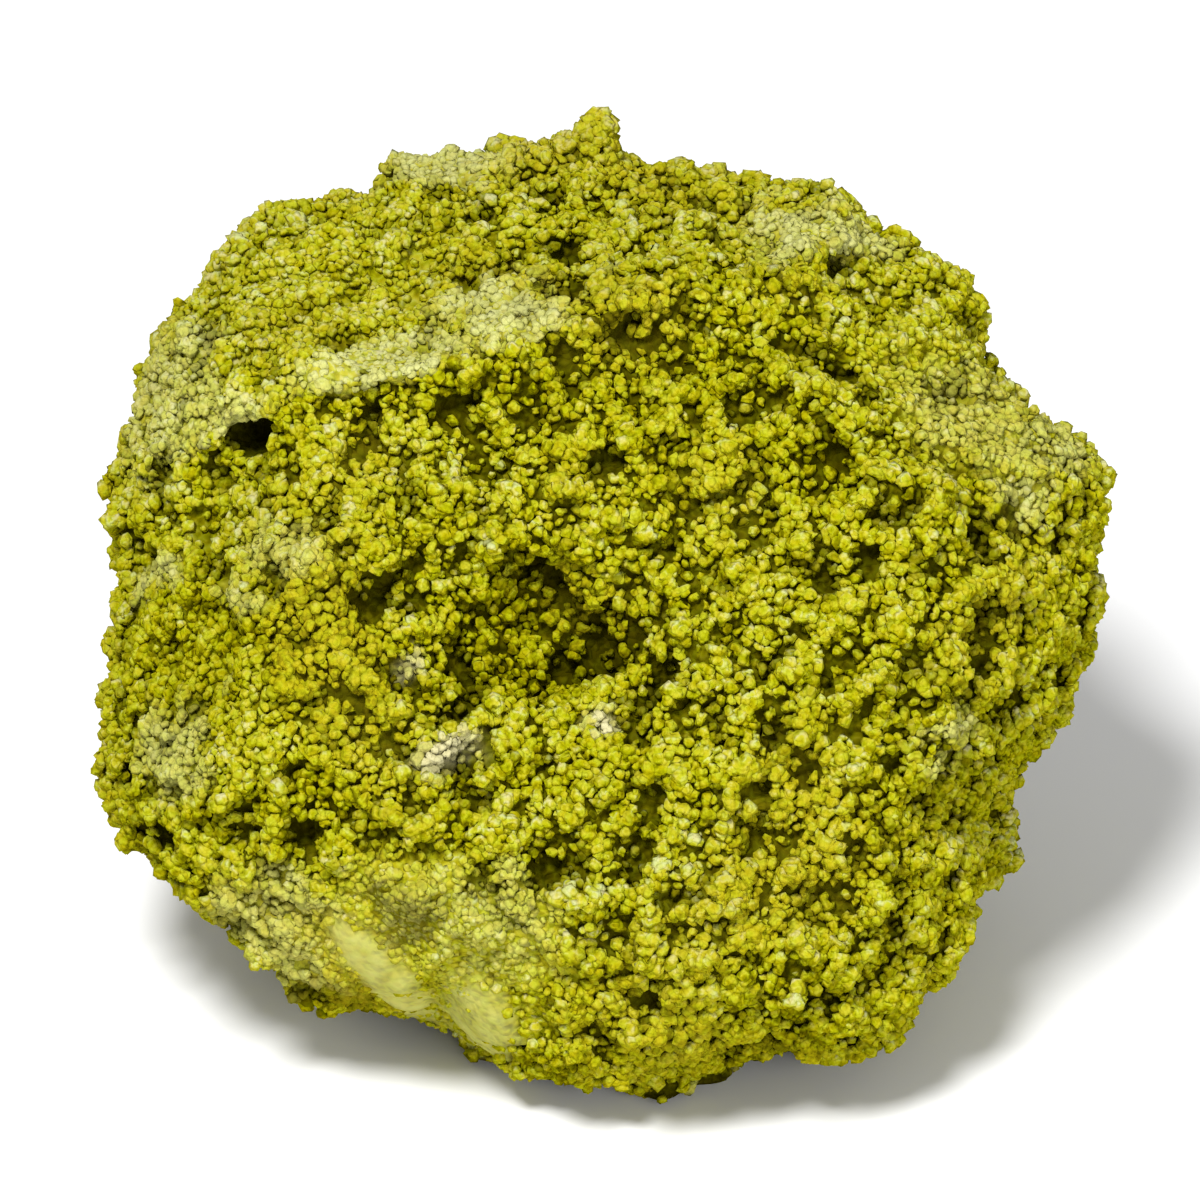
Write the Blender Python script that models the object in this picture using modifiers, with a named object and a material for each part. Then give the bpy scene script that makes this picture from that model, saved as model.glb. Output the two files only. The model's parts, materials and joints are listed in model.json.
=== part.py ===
"""Nontronite specimen: one porous lump of yellow-green clay, resting on a flat broken face.

The lump is shaped in a display frame, in millimetres: u to the right, v up and w towards
someone who looks down at it by DISPLAY_TILT. It is then turned upright, cut flat below,
and stood on z = 0 with its display side to -Y.
"""

import math

import bmesh
import bpy
import numpy as np
from mathutils import Vector, noise

# Driving dimensions, in millimetres and degrees.
MM = 0.001
DISPLAY_TILT = 30.0
FRONT_DEPTH = 31.0
BACK_DEPTH = 35.0
BASE_DROP = 33.8  # from the middle of the lump down to the face that it rests on
SQUARENESS = 3.1  # 2 is an ellipsoid, and more is boxier
EDGE_SHARPNESS = 17.0  # how crisply the broken faces meet
LEAST_RADIUS = 10.0
MOST_RADIUS = 70.0
HALVINGS = 40
GRID = 60  # squares along one edge of the starting cube
SECTORS = 120  # how finely the lump is stretched to meet its outline
FUSE_SIZE = 0.7  # the grain of the remesh that fuses the outlying lumps to the body
TRIANGLES = 9300  # what the finished surface is reduced to
THINNING_GAIN = 1.006  # makes up for the little that the reducing takes off all round

# The widest section, seen from the display side: angle from the right, and radius.
OUTLINE = (
    (0, 42.0), (5, 41.9), (10, 42.3), (15, 44.0), (19, 42.5), (24, 39.6), (29, 38.7),
    (35, 39.5), (41, 40.9), (48, 39.7), (55, 39.3), (62, 39.5), (66, 39.1), (72, 37.5),
    (78, 37.7), (83, 37.2), (88, 38.3), (95, 39.4), (99, 38.9), (105, 39.3), (111, 40.1),
    (117, 41.0), (121, 40.3), (126, 41.7), (132, 43.4), (136, 43.5), (141, 42.9), (147, 43.7),
    (153, 43.3), (158, 42.6), (165, 42.9), (169, 42.9), (174, 41.5), (180, 41.0), (187, 42.3),
    (193, 43.4), (199, 44.9), (206, 45.1), (211, 43.9), (216, 42.4), (222, 41.8), (229, 41.6),
    (235, 42.2), (240, 39.8), (244, 38.7), (250, 38.1), (256, 39.9), (263, 40.5), (270, 40.6),
    (277, 41.2), (284, 40.9), (290, 40.9), (295, 42.3), (301, 44.1), (307, 43.1), (313, 42.3),
    (319, 41.0), (325, 39.0), (331, 38.0), (337, 38.7), (343, 39.8), (350, 40.9), (355, 41.6),
)
# How far towards the viewer that section lies: angle from the right, and distance.
OUTLINE_LEAN = (
    (0, -2.0), (45, -5.0), (90, -6.0), (135, -4.0), (180, 0.0), (215, 6.0), (245, 11.0),
    (270, 11.0), (300, 8.0), (330, 1.0),
)
# Broad broken faces: degrees to the right and up from the viewer, and distance out.
FACES = {
    "front": (2, -4, 29.5),
    "upper": (-6, 55, 31.5),
    "upper_right": (38, 42, 36.5),
    "left": (-56, 4, 38.0),
    "right": (68, -6, 39.0),
    "lower_right": (46, -30, 40.5),
    "lower_left": (-20, -44, 37.2),
    "back": (186, 14, 33.5),
    "back_left": (-132, -4, 36.0),
    "back_right": (128, 12, 37.0),
    "back_top": (170, 58, 36.5),
    "back_low": (178, -34, 37.0),
}
# Ridges: path on the display side as (u, v) points, height and half width.
RIDGES = {
    "brow": (((-38, 10), (-31, 15), (-23, 18.3), (-11, 20.8), (-3, 23.6), (8, 27), (17, 28.5)),
             2.2, 3.4),
    "right_rim": (((34, 10.5), (38.2, 6.5), (40, 2.5), (38.2, -3.3), (36.5, -8)), 1.2, 2.4),
    "lower_edge": (((29, -11), (24, -20), (21.5, -27), (19, -33.5)), 1.5, 2.8),
    "left_edge": (((-36, 6), (-37.5, -4), (-37, -14), (-31, -21)), 1.0, 3.5),
}
# Ledges: path from left to right, height of the step down below it, and half width.
LEDGES = {
    "brow_ledge": (((-30, 12.5), (-23, 15.5), (-11, 18), (-3, 20.5), (6, 23)), 1.1, 4.6),
    "right_ledge": (((5, 22.0), (14, 24.3), (21, 22.5), (27, 21.0)), 2.0, 5.0),
    "shelf": (((19, 16.5), (27, 14.6), (34, 10.2)), 1.2, 4.0),
    "middle_step": (((-19, 3), (-12, 3.5), (-5, 2.6), (0, 1.6)), 0.7, 4.0),
}
# Dents and swellings: u, v, half width, half height, and how far out (in, if negative).
DENTS = {
    "central_hollow": (-5.0, -3.0, 9.5, 7.5, -5.6),
    "hollow_floor": (-6.3, -1.2, 3.8, 4.2, -2.4),
    "hollow_side": (-0.4, -4.0, 3.6, 2.0, -1.6),
    "under_brow": (-13.0, 12.5, 13.0, 5.0, -1.8),
    "upper_valley": (6.8, 16.5, 6.5, 5.0, -1.8),
    "right_pit": (17.0, 10.6, 3.2, 2.2, -2.6),
    "right_cleft": (12.8, 15.7, 2.6, 1.5, -1.9),
    "brow_pit": (-9.4, 11.1, 2.3, 1.8, -1.9),
    "left_pit": (-31.3, 7.8, 2.5, 1.7, -1.6),
    "low_pit": (0.7, -18.1, 1.9, 2.4, -1.9),
    "foot_pit": (11.0, -30.3, 2.7, 1.8, -2.2),
    "foot_pit_small": (16.2, -25.1, 2.1, 1.6, -1.5),
    "rim_pit": (31.3, 6.7, 1.9, 1.9, -1.4),
    "right_slot": (28.5, 3.0, 3.4, 1.6, -1.7),
    "right_slot_low": (28.6, -3.4, 3.6, 1.6, -1.6),
    "rim_pit_low": (35.6, -0.2, 1.6, 1.9, -1.2),
    "flank_slot": (22.6, -29.0, 1.8, 3.4, -1.8),
    "edge_pit": (24.8, -16.9, 2.2, 1.7, -1.4),
    "left_slot": (-22.9, -16.1, 2.3, 3.2, -1.8),
    "left_slot_low": (-28.5, -18.5, 2.2, 2.2, -1.3),
    "right_boss": (16.0, 14.4, 2.8, 2.6, 1.5),
    "right_cheek": (28.0, -11.7, 4.2, 3.4, 1.3),
    "left_cheek": (-33.5, -12.5, 5.0, 6.0, 1.6),
    "left_boss": (-26.0, 4.2, 4.5, 3.0, 1.0),
    "middle_swell": (9.0, -7.5, 8.0, 7.0, 1.2),
    "skyline_left": (-29.0, 31.0, 3.5, 2.5, 0.8),
}
# The placed relief: how it strays, how soft its steps are, and the depth over which it
# dies out where the display side turns away.
WANDER_SPACING = 8.0
WANDER = 1.8
LEDGE_SOFTNESS = 1.7
FADE_DEPTH = 6.0
# Relief all over the lump: broad swellings, clumps of grains with creases between them,
# and pits.
SWELL_SPACING = 13.0
SWELL_HEIGHT = 2.6
CLUMP_SPACING = 5.6
CLUMP_HEIGHT = 2.0
CLUMP_MIDDLE = 0.6  # the share of that height that is sunk, so that the lump keeps its size
CREASE = 0.5  # how far a crease reaches into a clump, as a share of the spacing
PIT_SPACING = 5.0
PIT_RADIUS = 0.38  # as a share of the spacing
PIT_DEPTH = 2.2
NOISE_ORIGIN = Vector((3.7, 11.2, 5.9))
# The smooth flat patches, where the clumps die out: (u, v, half width, half height).
FLATS = ((-20.0, -28.5, 5.5, 6.0), (-10.0, -34.0, 5.0, 5.0))
FLAT_SMOOTHING = 0.9
# Small lumps on the widest section: angle, how far out the middle is, how far towards the
# viewer it is from that section, and half sizes.
OUTLYING_LUMPS = {
    "knob": (90.8, 38.7, 0.0, (2.2, 2.4, 2.3)),
    "lobe": (-32.6, 36.7, -2.5, (4.4, 5.2, 6.0)),
}
LUMP_WOBBLE = 0.16
SECTION_SEARCH = 3.0  # degrees to each side in which a lump looks for the widest section
NEAR_CUT = 0.15  # corners this near the rest face are drawn onto it

CLAY = (0.42, 0.41, 0.035)
CLAY_ROUGHNESS = 0.95


def clear_scene():
    for obj in list(bpy.data.objects):
        bpy.data.objects.remove(obj, do_unlink=True)


def ring(table):
    """A smooth closed curve of value against angle, through the points of the table."""
    angles = np.radians([row[0] for row in table])
    values = np.array([row[1] for row in table])
    before = np.roll(values, 1)
    after = np.roll(values, -1)
    gap_before = np.mod(angles - np.roll(angles, 1), 2 * math.pi)
    gap_after = np.mod(np.roll(angles, -1) - angles, 2 * math.pi)
    slopes = (after - before) / (gap_before + gap_after)

    def at(angle):
        angle = np.mod(angle, 2 * math.pi)
        left = np.searchsorted(angles, angle, side="right") - 1
        right = np.mod(left + 1, len(values))
        gap = gap_after[left]
        t = (angle - angles[left]) / gap
        h00 = (1 + 2 * t) * (1 - t) ** 2
        h10 = t * (1 - t) ** 2
        h01 = t * t * (3 - 2 * t)
        h11 = t * t * (t - 1)
        bend = (h10 * slopes[left] + h11 * slopes[right]) * gap
        return h00 * values[left] + h01 * values[right] + bend

    return at


outline_at = ring(OUTLINE)
lean_at = ring(OUTLINE_LEAN)


def face_normal(right, up):
    right, up = math.radians(right), math.radians(up)
    return np.array([math.sin(right) * math.cos(up), math.sin(up), math.cos(right) * math.cos(up)])


def body_level(points):
    """1 on the smooth body, less inside and more outside."""
    angle = np.arctan2(points[:, 1], points[:, 0])
    reach = np.hypot(points[:, 0], points[:, 1]) / outline_at(angle)
    out = points[:, 2] - lean_at(angle) * np.minimum(reach, 1.2) ** 2
    depth = np.where(out > 0, out / FRONT_DEPTH, -out / BACK_DEPTH)
    levels = [(reach**SQUARENESS + depth**SQUARENESS) ** (1 / SQUARENESS)]
    for right, up, distance in FACES.values():
        levels.append(np.maximum(points @ face_normal(right, up) / distance, 0))
    return sum(level**EDGE_SHARPNESS for level in levels) ** (1 / EDGE_SHARPNESS)


def smooth_body(directions):
    """Each direction's point on the smooth body, found by halving."""
    low = np.full(len(directions), LEAST_RADIUS)
    high = np.full(len(directions), MOST_RADIUS)
    for _ in range(HALVINGS):
        middle = (low + high) / 2
        inside = body_level(directions * middle[:, None]) < 1
        low = np.where(inside, middle, low)
        high = np.where(inside, high, middle)
    return directions * low[:, None]


def fit_outline(points):
    """Stretches the lump sideways so that its widest section meets the outline."""
    angle = np.mod(np.arctan2(points[:, 1], points[:, 0]), 2 * math.pi)
    reach = np.hypot(points[:, 0], points[:, 1])
    sector = np.floor(angle / (2 * math.pi) * SECTORS).astype(int)
    share = np.array([(reach / outline_at(angle))[sector == i].max() for i in range(SECTORS)])
    middles = (np.arange(-1, SECTORS + 1) + 0.5) * 2 * math.pi / SECTORS
    around = np.interp(angle, middles, np.concatenate([share[-1:], share, share[:1]]))
    pull = np.clip(reach / outline_at(angle), 0, 1) ** 4
    points[:, :2] /= (1 + (around - 1) * pull)[:, None]


def along_path(points, path):
    """Distance up from a path on the display side, and negative below it."""
    best = np.full(len(points), 1e9)
    across = np.zeros(len(points))
    for start, end in zip(path[:-1], path[1:]):
        start, end = np.array(start), np.array(end)
        run = end - start
        length = np.linalg.norm(run)
        share = np.clip((points[:, :2] - start) @ run / length**2, 0, 1)
        offset = points[:, :2] - (start + share[:, None] * run)
        distance = np.linalg.norm(offset, axis=1)
        up = np.sign(run[0] * offset[:, 1] - run[1] * offset[:, 0])
        nearer = distance < best
        across = np.where(nearer, distance * up, across)
        best = np.where(nearer, distance, best)
    return across


def wander(points):
    """A small sideways shift that varies from place to place."""
    places = [Vector(point) / WANDER_SPACING for point in points]
    return WANDER * np.array([noise.noise_vector(place + NOISE_ORIGIN) for place in places])


def display_relief(points, facing):
    """Ridges, ledges, hollows and bosses that are placed by hand on the display side."""
    height = np.zeros(len(points))
    strayed = points + wander(points)
    for path, rise, half_width in RIDGES.values():
        across = along_path(strayed, path)
        height += rise * np.exp(-((across / half_width) ** 2))
    for path, drop, half_width in LEDGES.values():
        across = along_path(strayed, path)
        step = np.tanh(across / LEDGE_SOFTNESS)
        height += drop * step * np.exp(-((across / half_width) ** 2))
    for u, v, half_width, half_height, rise in DENTS.values():
        away = ((points[:, 0] - u) / half_width) ** 2 + ((points[:, 1] - v) / half_height) ** 2
        height += rise * np.exp(-away)
    return height * facing


def flatness(points):
    """1 on the smooth flat patches of the display side, and 0 away from them."""
    flat = np.zeros(len(points))
    for u, v, half_width, half_height in FLATS:
        away = ((points[:, 0] - u) / half_width) ** 2 + ((points[:, 1] - v) / half_height) ** 2
        flat = np.maximum(flat, np.exp(-(away**2)) * (points[:, 2] > 0))
    return flat


def clumps(points):
    """Swellings, clumps of grains and the pits between them, over the whole surface."""
    height = np.zeros(len(points))
    for index, point in enumerate(points):
        place = Vector(point) + NOISE_ORIGIN
        swell = noise.noise(place / SWELL_SPACING)
        near = noise.voronoi(place / CLUMP_SPACING)[0]
        clump = min((near[1] - near[0]) / CREASE, 1) ** 0.8 - CLUMP_MIDDLE
        pit = noise.voronoi((place + NOISE_ORIGIN) / PIT_SPACING)[0][0]
        depth = max(1 - (pit / PIT_RADIUS) ** 2, 0)
        height[index] = SWELL_HEIGHT * swell + CLUMP_HEIGHT * clump - PIT_DEPTH * depth
    return height


def mesh_points(mesh):
    flat = np.empty(len(mesh.vertices) * 3, np.float32)
    mesh.vertices.foreach_get("co", flat)
    return flat.reshape(-1, 3).astype(float)


def mesh_normals(mesh):
    flat = np.empty(len(mesh.vertices) * 3, np.float32)
    mesh.vertex_normals.foreach_get("vector", flat)
    return flat.reshape(-1, 3).astype(float)


def set_points(mesh, points):
    mesh.vertices.foreach_set("co", points.astype(np.float32).ravel())
    mesh.update()


def grid_ball(name):
    """A ball of even squares: a cube, divided and rounded."""
    bm = bmesh.new()
    bmesh.ops.create_cube(bm, size=2)
    bmesh.ops.subdivide_edges(bm, edges=bm.edges, cuts=GRID - 1, use_grid_fill=True)
    for vert in bm.verts:
        even = Vector([math.tan(value * math.pi / 4) for value in vert.co])
        vert.co = even.normalized()
    mesh = bpy.data.meshes.new(name)
    bm.to_mesh(mesh)
    bm.free()
    return mesh


def upright(points):
    """From the display frame to the part's own, with the rest face at z = 0."""
    tilt = math.radians(DISPLAY_TILT)
    right, up, out = points.T
    back = up * math.sin(tilt) - out * math.cos(tilt)
    rise = up * math.cos(tilt) + out * math.sin(tilt) + BASE_DROP
    return np.stack([right, back, rise], axis=1) * MM


def widest_point(points, angle):
    """Where the outline seen from the display side touches the lump, at this angle."""
    away = np.arctan2(points[:, 1], points[:, 0]) - math.radians(angle)
    turned = np.abs(np.mod(away + math.pi, 2 * math.pi) - math.pi)
    near = turned < math.radians(SECTION_SEARCH)
    return max(points[near].tolist(), key=lambda point: math.hypot(point[0], point[1]))


def make_body():
    """The mesh of the lump in its upright place, and its points in the display frame."""
    mesh = grid_ball("body")
    points = smooth_body(mesh_points(mesh))
    facing = np.clip(points[:, 2] / FADE_DEPTH + 0.5, 0, 1)
    fit_outline(points)
    points[:, 2] += display_relief(points, facing)
    set_points(mesh, points)
    rough = 1 - FLAT_SMOOTHING * flatness(points)
    points += mesh_normals(mesh) * (clumps(points) * rough)[:, None]
    fit_outline(points)
    points[:, :2] *= THINNING_GAIN
    set_points(mesh, upright(points))
    return mesh, points


def make_lump(name, middle, half_sizes):
    """The mesh of a small rounded lump that overlaps the body."""
    bm = bmesh.new()
    bmesh.ops.create_icosphere(bm, subdivisions=3, radius=1)
    for vert in bm.verts:
        wobble = 1 + LUMP_WOBBLE * noise.noise(vert.co * 2 + NOISE_ORIGIN)
        vert.co = Vector([c * half for c, half in zip(vert.co, half_sizes)]) * wobble
    mesh = bpy.data.meshes.new(name)
    bm.to_mesh(mesh)
    bm.free()
    set_points(mesh, upright(mesh_points(mesh) + np.array(middle)))
    return mesh


def gather(meshes, name, collection):
    """One object from several meshes, which may still overlap."""
    bm = bmesh.new()
    for mesh in meshes:
        bm.from_mesh(mesh)
        bpy.data.meshes.remove(mesh)
    joined = bpy.data.meshes.new(name)
    bm.to_mesh(joined)
    bm.free()
    body = bpy.data.objects.new(name, joined)
    collection.objects.link(body)
    return body


def bake_modifiers(body):
    graph = bpy.context.evaluated_depsgraph_get()
    baked = bpy.data.meshes.new_from_object(body.evaluated_get(graph))
    body.modifiers.clear()
    body.data = baked


def fuse(body):
    """Makes one closed skin of the overlapping lumps."""
    remesh = body.modifiers.new("fuse", "REMESH")
    remesh.mode = "VOXEL"
    remesh.voxel_size = FUSE_SIZE * MM
    bake_modifiers(body)


def thin_out(body):
    """Leaves the triangles that the relief needs."""
    body.data.calc_loop_triangles()
    decimate = body.modifiers.new("thin out", "DECIMATE")
    decimate.ratio = TRIANGLES / len(body.data.loop_triangles)
    bake_modifiers(body)


def drop_crumbs(bm):
    """Deletes whatever is no longer joined to the lump."""
    left = set(bm.verts)
    pieces = []
    while left:
        piece = {left.pop()}
        edge_of_piece = set(piece)
        while edge_of_piece:
            around = {edge.other_vert(vert) for vert in edge_of_piece for edge in vert.link_edges}
            edge_of_piece = around - piece
            piece |= edge_of_piece
        left -= piece
        pieces.append(piece)
    largest = max(pieces, key=len)
    crumbs = [vert for vert in bm.verts if vert not in largest]
    bmesh.ops.delete(bm, geom=crumbs, context="VERTS")


def cut_rest_face(body):
    """Cuts the lump off flat at z = 0 and closes the cut."""
    bm = bmesh.new()
    bm.from_mesh(body.data)
    everything = bm.verts[:] + bm.edges[:] + bm.faces[:]
    bmesh.ops.bisect_plane(
        bm,
        geom=everything,
        dist=NEAR_CUT * MM,
        plane_co=(0, 0, 0),
        plane_no=(0, 0, -1),
        clear_outer=True,
    )
    drop_crumbs(bm)
    border = [edge for edge in bm.edges if edge.is_boundary]
    on_cut = {vert for edge in border for vert in edge.verts}
    for vert in bm.verts:
        vert.co.z = 0 if vert in on_cut else max(vert.co.z, 0)
    bmesh.ops.holes_fill(bm, edges=border, sides=0)
    bmesh.ops.triangulate(bm, faces=bm.faces)
    bmesh.ops.recalc_face_normals(bm, faces=bm.faces)
    bm.to_mesh(body.data)
    bm.free()


def centre_on_origin(body):
    """Puts the origin below the middle of the bounding box."""
    points = mesh_points(body.data)
    middle = (points.min(axis=0) + points.max(axis=0)) / 2
    middle[2] = 0
    set_points(body.data, points - middle)


def paint(body):
    clay = bpy.data.materials.new("nontronite_clay")
    clay.use_nodes = True
    shader = clay.node_tree.nodes["Principled BSDF"]
    shader.inputs["Base Color"].default_value = (*CLAY, 1)
    shader.inputs["Roughness"].default_value = CLAY_ROUGHNESS
    shader.inputs["Metallic"].default_value = 0.0
    body.data.materials.clear()
    body.data.materials.append(clay)


def main():
    clear_scene()
    specimen = bpy.data.collections.new("nontronite specimen")
    bpy.context.scene.collection.children.link(specimen)
    body_mesh, points = make_body()
    meshes = [body_mesh]
    for name, (angle, reach, forward, half_sizes) in OUTLYING_LUMPS.items():
        middle = (
            reach * math.cos(math.radians(angle)),
            reach * math.sin(math.radians(angle)),
            widest_point(points, angle)[2] + forward,
        )
        meshes.append(make_lump(name, middle, half_sizes))
    body = gather(meshes, "nontronite_mass", specimen)
    fuse(body)
    thin_out(body)
    cut_rest_face(body)
    centre_on_origin(body)
    paint(body)


main()
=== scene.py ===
"""The looks of the nontronite specimen: a porous mass, and the fused grains that cover it."""

import itertools
import json
import math

import bmesh
import bpy
import numpy as np
from mathutils import Matrix, Vector
from mathutils.bvhtree import BVHTree

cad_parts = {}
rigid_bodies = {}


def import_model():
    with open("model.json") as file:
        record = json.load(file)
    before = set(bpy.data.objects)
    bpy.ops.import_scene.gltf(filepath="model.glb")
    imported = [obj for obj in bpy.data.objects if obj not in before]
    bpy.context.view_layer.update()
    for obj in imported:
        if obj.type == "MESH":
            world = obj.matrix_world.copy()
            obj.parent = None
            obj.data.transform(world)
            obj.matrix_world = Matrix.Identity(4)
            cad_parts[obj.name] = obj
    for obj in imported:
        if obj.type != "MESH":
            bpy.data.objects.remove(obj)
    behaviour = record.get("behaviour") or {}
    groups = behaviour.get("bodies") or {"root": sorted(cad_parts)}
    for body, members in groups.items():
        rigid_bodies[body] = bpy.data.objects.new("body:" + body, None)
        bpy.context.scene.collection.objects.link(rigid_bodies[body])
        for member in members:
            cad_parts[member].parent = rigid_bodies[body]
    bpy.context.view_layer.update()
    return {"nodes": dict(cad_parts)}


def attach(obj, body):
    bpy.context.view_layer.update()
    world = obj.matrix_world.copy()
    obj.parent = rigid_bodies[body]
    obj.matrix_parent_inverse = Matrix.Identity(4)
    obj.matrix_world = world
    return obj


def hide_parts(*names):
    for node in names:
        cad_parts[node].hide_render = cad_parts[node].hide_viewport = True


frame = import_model()

NODE = "nontronite_mass"
MM = 0.001

# The display side is seen from -Y, this far above the level.
VIEW_RISE = math.radians(30)
RIGHT = np.array([1.0, 0.0, 0.0])
UP = np.array([0.0, math.sin(VIEW_RISE), math.cos(VIEW_RISE)])
TOWARDS = np.array([0.0, -math.cos(VIEW_RISE), math.sin(VIEW_RISE)])
FRAME_WIDTH = 100.4 * MM
CAMERA_DISTANCE = 1.0

# What is marked on each point, for the materials to read.
MARKINGS = ("pore", "crown", "dust", "chalk", "smear", "flat", "tint", "shade")

# The tables of random numbers that the noises and the cells look up.
TABLE_ROWS = 4096
CELL_PRIMES = (73856093, 19349663, 83492791)
SEED_SHIFT = 0.37  # of a noise's lattice, in spacings, for each step of its seed

# The porous mass, in mm unless it says otherwise. A cell gap is a share of the cells' spacing.
MASS_GRID = 0.68
SMOOTHING = 0.5  # share of the way to their neighbours that its points move in each round
SMOOTHING_ROUNDS = 3
WELD = 0.001  # between the corners of facets that meet
BED_CLEARANCE = 0.02  # of the mass above the ground
MASS_DROP = 0.9  # of the mass below the outer form
CREASE = 0.42  # cell gap at which the crease round a clump ends
CLUMP_SPACING = 2.9
CLUMP_HEIGHT = 0.6
KNOT_SPACING = 6.5
KNOT_HEIGHT = 0.4
CREVICE_SPACING = 3.0
CREVICE = (0.30, 0.12)  # cell gap at which a crevice starts, and is at its deepest
CREVICE_BREAK = 1.9  # spacing of the breaks along a crevice
CREVICE_SHARE = (0.0, 0.2)  # noise at which a crevice starts to open, and is open
CREVICE_DEPTH = 1.1
CREVICE_LIE = (0.75, 0.5)  # 1 is a crack that lies flat: shut at the first, open at the second
PROBE = 0.2  # step outwards that shows how flat a crack lies
WARP_SPACING = 1.9
WARP = 0.8
RAISE = 0.6
RAISED_CALM = 0.6  # share of the relief that a raised place loses
REST_BAND = (0.4, 2.5)  # above the rest face, over which the relief comes in

# The pale patches away from the display side: spacing in mm, noise over which they start, dust.
RUBBED_SPACING = 11.0
RUBBED_FRAY_SPACING = 3.0
RUBBED_FRAY = 0.4
RUBBED = (0.3, 0.6)
RUBBED_DUST = 0.7

# The share that a fine or dusty place takes off each of these.
SMEARED = {
    "relief": 0.65,
    "crevices": 0.9,
    "mass drop": 0.6,
    "crumb drop": 0.15,
    "crumb size": 0.3,
    "crumb lift": 0.5,
    "skin drop": 0.92,
    "crumb tone": 0.5,
    "crumb bump": 0.3,
}
CHALK_SMEAR = 0.7

# The places below fade with the turn from the display side, and round their edges, where they
# are nothing at the first share of their half size and whole at the second.
FACING = (-0.15, 0.2)
PLACE_EDGE = (1.25, 0.6)
# How far their edges stray, in mm, and the spacing and share of the two noises that they follow.
STRAY = {"flat": 0.5, "fine": 2.5, "dust": 2.0, "chalk": 0.6, "tint": 2.0, "raised": 0.3}
STRAY_SPACINGS = (2.6, 0.9)
STRAY_FINER = 0.4

# Places on the display side, in mm from the middle of its outline:
# (right, up, half width, half height, turn in degrees, strength).
DUSTY = (
    (-18.1, 19.4, 7.4, 2.2, 12, 1.0),
    (-8.4, 24.3, 5.6, 1.9, -4, 0.9),
    (17.7, 30.3, 6.6, 2.2, -8, 0.85),
    (-13.1, 36.2, 5.0, 1.6, 5, 0.85),
    (-25.4, 4.0, 3.6, 2.3, 10, 0.35),
    (-36.0, 1.8, 2.0, 1.7, 0, 0.6),
    (-30.0, 15.1, 3.0, 1.6, 20, 0.6),
    (-29.0, -0.8, 2.2, 1.7, 0, 0.5),
    (-35.0, -12.0, 3.0, 4.0, 0, 0.5),
    (28.3, -11.7, 2.4, 2.0, 0, 0.6),
    (35.1, 9.2, 2.2, 1.5, 0, 0.55),
    (-36.0, 17.0, 4.5, 7.0, -20, 0.45),
    (37.0, 13.5, 4.5, 2.4, -30, 0.5),
    (30.0, 15.5, 6.0, 4.0, -30, 0.3),
    (-9.0, -26.0, 5.5, 4.0, 0, 0.35),
    (-12.0, -26.5, 9.0, 5.0, -15, 0.2),
    (-26.5, -27.5, 6.5, 3.2, -42, 0.45),
    (-25.5, -23.0, 2.0, 1.5, 0, 0.7),
    (-22.5, -24.0, 1.5, 1.5, 0, 0.5),
)
CHALKY = (
    (-12.0, -12.3, 3.2, 1.6, 24, 0.85),
    (0.2, -9.4, 1.4, 1.0, 0, 0.9),
    (-14.6, -4.4, 0.8, 0.7, 0, 0.6),
)
FLAT = (
    (-17.9, -30.5, 6.9, 2.0, -48, 1.0),
    (-9.9, -34.2, 3.0, 4.2, 25, 0.9),
)
RAISED = (
    (-0.6, 39.2, 3.0, 2.6, 0, 0.7),
    (-11.0, 37.0, 9.0, 1.6, 5, 0.8),
    (-4.3, 38.0, 2.6, 1.8, 20, 0.9),
    (-30.8, 29.8, 5.0, 2.0, 45, 1.2),
)
FINE = (
    (-24.0, 27.0, 18.0, 10.0, 25, 0.45),
    (-14.0, -29.5, 12.0, 9.0, -10, 0.9),
    (30.0, 17.0, 11.0, 6.0, -35, 0.5),
    (-33.0, -4.0, 6.0, 14.0, 0, 0.35),
)
LIGHT_AND_SHADE_PATCHES = (  # paler above 0 and more olive below: painted light on some places and painted shade on others, such as the dark underside at the lower left
    (-21.0, -4.5, 8.0, 5.0, 0, -0.6),
    (0.0, 15.0, 15.0, 4.0, -8, -0.35),
    (7.6, 19.0, 7.0, 3.6, 0, -0.35),
    (-5.4, -2.9, 7.5, 6.0, 0, -0.8),
    (17.0, 10.7, 3.6, 2.6, 0, -0.8),
    (-23.0, -16.2, 2.6, 3.2, 0, -0.5),
    (-21.8, -33.0, 3.2, 1.4, -15, -2.8),
    (-34.0, -4.0, 5.0, 8.0, 0, -0.5),
    (-16.5, -26.0, 3.0, 3.0, 0, -1.6),
    (14.0, -37.5, 7.5, 1.6, 8, -0.6),
    (5.0, -24.0, 9.0, 6.0, 0, 0.35),
    (-31.0, 27.0, 8.0, 5.0, 35, 0.1),
    (-37.0, 14.0, 4.0, 7.0, 0, 0.5),
    (36.0, -20.5, 2.5, 3.0, 0, 0.7),
)

# The kinds of crumb, each a few fused grains, in shares of its radius.
CRUMB_KINDS = 10
CRUMB_TRIANGLES = 32
LOBE_COUNT = (5, 9)
LOBE_REACH = (0.4, 0.65)
LOBE_RADIUS = (0.32, 0.5)
LOBE_SQUASH = 0.9
CORE_RADIUS = 0.48
CRUMB_BASE = -0.45
TIP_REACH = (0.5, 0.95)
TIP_RISE = (-0.45, 0.6)

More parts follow.
